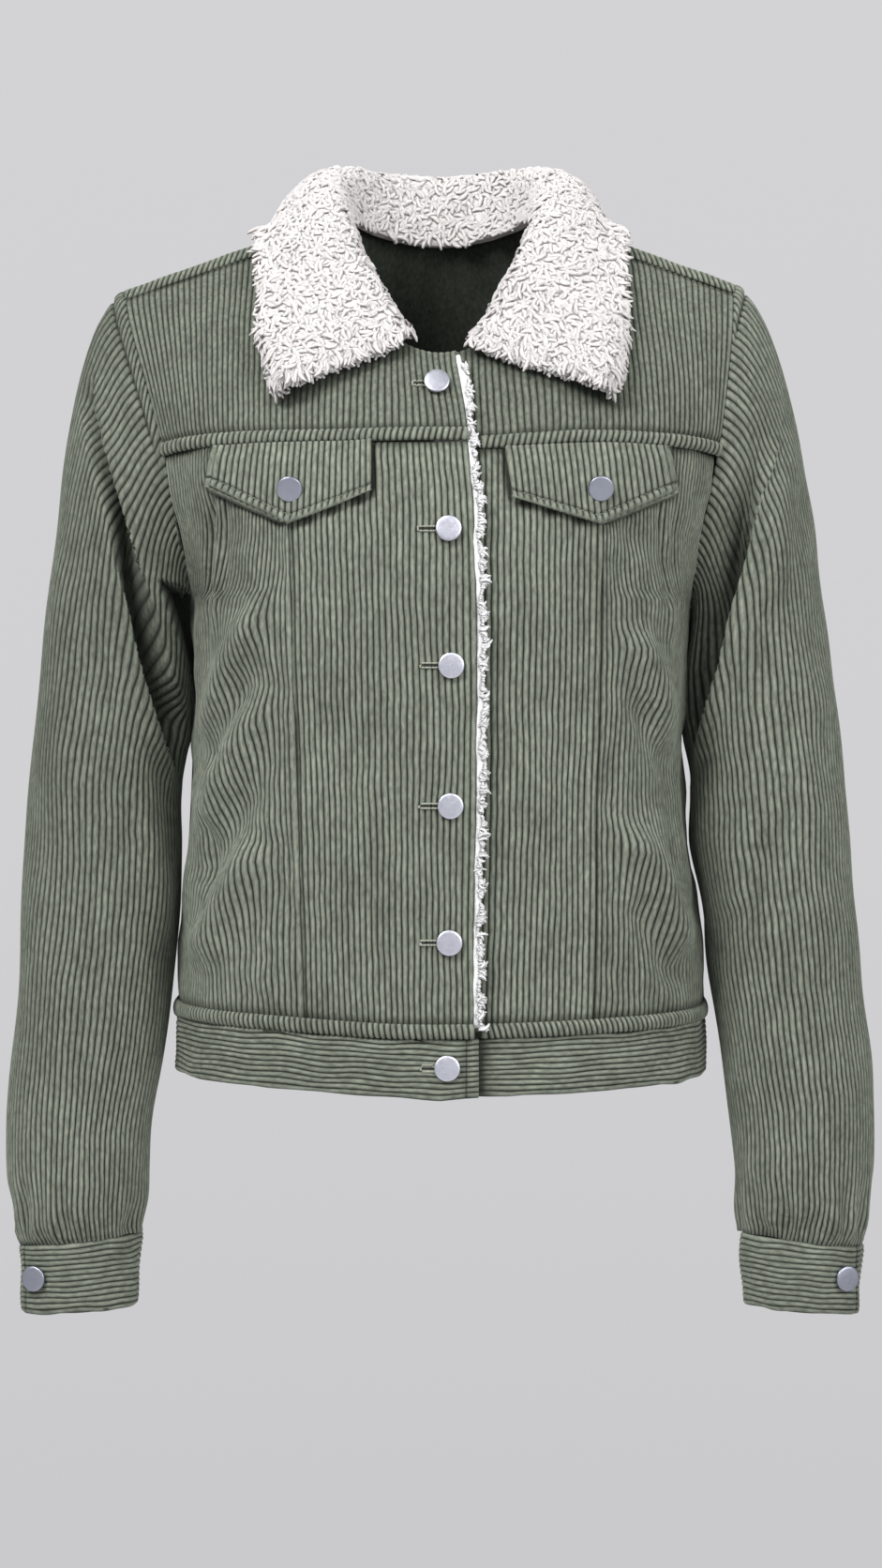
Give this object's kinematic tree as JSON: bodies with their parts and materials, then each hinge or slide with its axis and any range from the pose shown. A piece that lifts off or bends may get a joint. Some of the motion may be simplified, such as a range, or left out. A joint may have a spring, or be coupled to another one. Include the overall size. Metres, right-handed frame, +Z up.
{
  "type": "corduroy jacket",
  "caption": "Short wide-wale corduroy jacket in worn form, buttoned, with a turned-down pile collar, two flap pockets, a hem band and buttoned cuffs.",
  "frame": {"origin": "midway between the neck ends of the two shoulder seams, where the wearer holds the jacket up", "axes": "+Z up, the wearer faces -Y, +X towards the sleeve on the right as seen from the front"},
  "size_m": [0.5312, 0.2569, 0.7132],
  "materials": {
    "corduroy": "matt ribbed nap",
    "pile": "curled pile",
    "satin_metal": "satin"
  },
  "bodies": {
    "root": {"front_yoke_left": "corduroy", "front_yoke_right": "corduroy", "front_centre_left": "corduroy", "front_centre_right": "corduroy", "front_side_left": "corduroy", "front_side_right": "corduroy", "back": "corduroy", "hem_band": "corduroy", "pocket_flap_left": "corduroy", "pocket_flap_right": "corduroy", "sleeve_left": "corduroy", "sleeve_right": "corduroy", "cuff_left": "corduroy", "cuff_right": "corduroy", "collar": "pile", "under_collar": "corduroy", "front_facing": "pile", "button_front_1": "satin_metal", "button_front_2": "satin_metal", "button_front_3": "satin_metal", "button_front_4": "satin_metal", "button_front_5": "satin_metal", "button_front_6": "satin_metal", "button_flap_left": "satin_metal", "button_flap_right": "satin_metal", "button_cuff_left": "satin_metal", "button_cuff_right": "satin_metal"}
  },
  "joints": []
}
